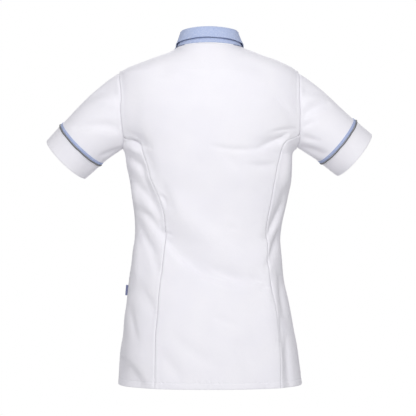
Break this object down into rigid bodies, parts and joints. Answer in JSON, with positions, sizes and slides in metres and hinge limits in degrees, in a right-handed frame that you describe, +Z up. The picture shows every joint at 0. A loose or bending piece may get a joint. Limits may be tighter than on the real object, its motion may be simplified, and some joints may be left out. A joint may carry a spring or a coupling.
{
  "type": "scrub top",
  "caption": "Women's white short-sleeved scrub tunic, filled out as worn, with a light blue stand-and-fall collar, blue and grey sleeve trims, curved back seams and a buttoned front",
  "frame": {"origin": "the middle of the shoulders at the height of the neck points, where the wearer's shoulders hold the garment up", "axes": "+Z up towards the collar, the front faces -Y and the back faces +Y, the wearer's left is +X"},
  "size_m": [0.6852, 0.2655, 0.7472],
  "materials": {
    "white_cloth": "plain matt poly-cotton twill",
    "chambray": "matt light blue chambray",
    "band_blue": "matt blue chambray band",
    "piping_grey": "matt dark grey piping",
    "tab_blue": "woven blue tape, bare",
    "button_white": "white polyester buttons"
  },
  "bodies": {
    "root": {"back_centre": "white_cloth", "back_side_left": "white_cloth", "back_side_right": "white_cloth", "front_left": "white_cloth", "front_right": "white_cloth", "sleeve_left": "white_cloth", "sleeve_right": "white_cloth", "cuff_left": "white_cloth", "cuff_right": "white_cloth", "sleeve_band_left": "band_blue", "sleeve_band_right": "band_blue", "sleeve_piping_left": "piping_grey", "sleeve_piping_right": "piping_grey", "collar_stand": "chambray", "collar_fall": "chambray", "button_1": "button_white", "button_2": "button_white", "button_3": "button_white", "button_4": "button_white", "button_5": "button_white", "button_6": "button_white", "side_tab": "tab_blue"}
  },
  "joints": []
}
